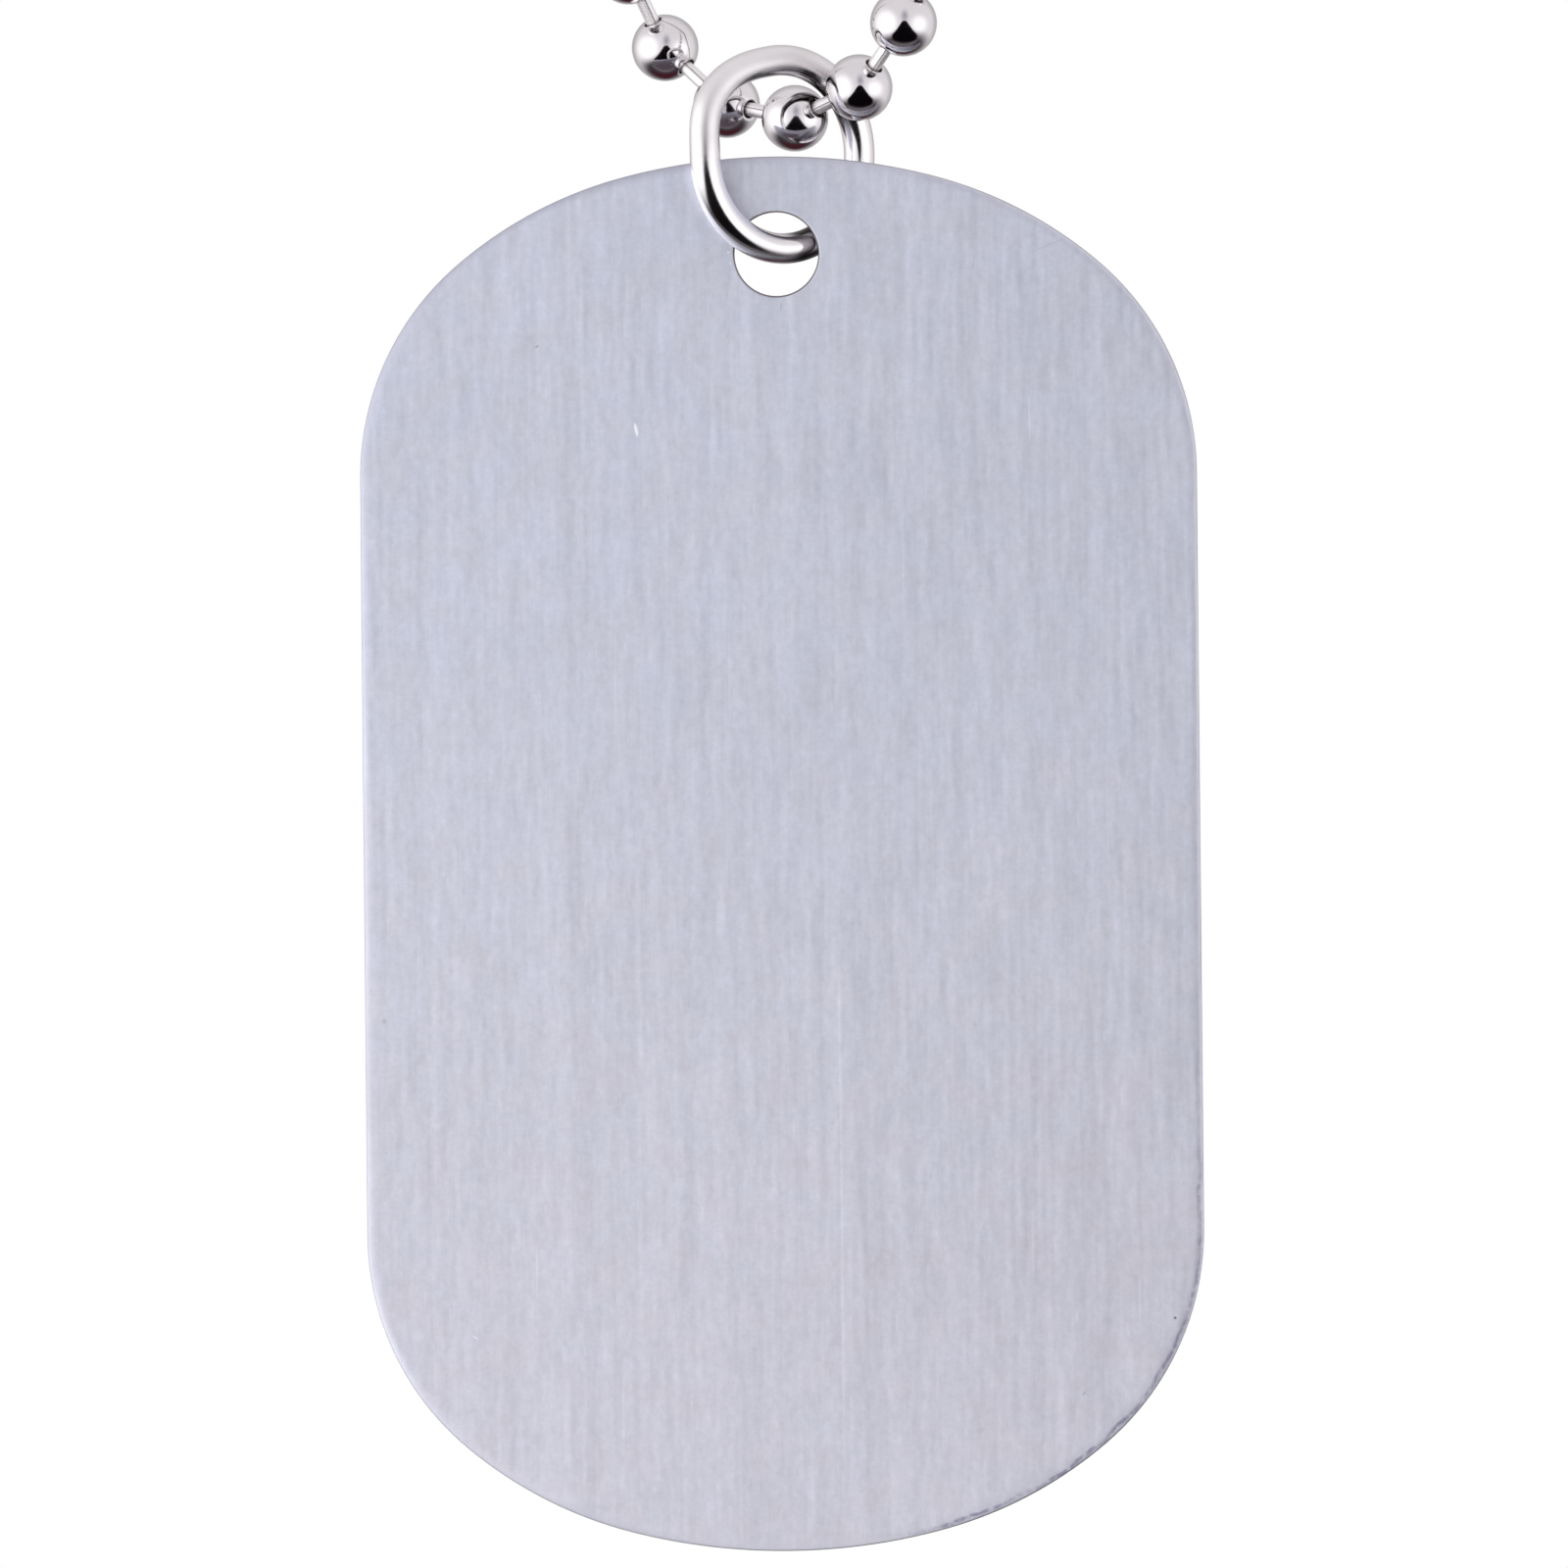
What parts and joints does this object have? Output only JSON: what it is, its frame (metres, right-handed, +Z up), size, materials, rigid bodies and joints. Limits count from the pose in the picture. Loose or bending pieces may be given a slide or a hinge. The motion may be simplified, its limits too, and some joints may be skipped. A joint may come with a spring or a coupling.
{
  "type": "dog tag necklace",
  "caption": "Blank rounded plate tag on a jump ring, hung from a whole loop of ball chain with a sleeve clasp at the nape.",
  "frame": {"origin": "under the clasp, at the top of the loop, where the chain rests on the nape", "axes": "+X to the right of someone who looks at the tag's front, +Y away from them through the tag, +Z up along the tag"},
  "size_m": [0.1574, 0.0098, 0.2902],
  "materials": {
    "brushed_plate": "brushed from end to end, satin, with bright rubbed edges",
    "polished_ring": "polished nickel plate",
    "polished_balls": "polished nickel plate",
    "link_wire": "drawn and plated wire, bright",
    "clasp_sleeve": "rolled and plated, slightly rubbed"
  },
  "bodies": {
    "chain": {"front_beads": "polished_balls", "front_links": "link_wire", "back_beads": "polished_balls", "back_wire": "link_wire", "clasp": "clasp_sleeve"},
    "ring": {"jump_ring": "polished_ring"},
    "tag": {"tag": "brushed_plate"}
  },
  "joints": [
    {"name": "ring_swing", "type": "hinge", "parent": "chain", "child": "ring", "pos_m": [0.00186, 0.00083, -0.23489], "axis": [0.7, -0.6393, 0.3182], "range_deg": [-60, 60]},
    {"name": "tag_swing", "type": "hinge", "parent": "ring", "child": "tag", "pos_m": [0.00005, 0, -0.24009], "axis": [-0.8173, -0.5723, 0.0671], "range_deg": [-12, 12]}
  ]
}
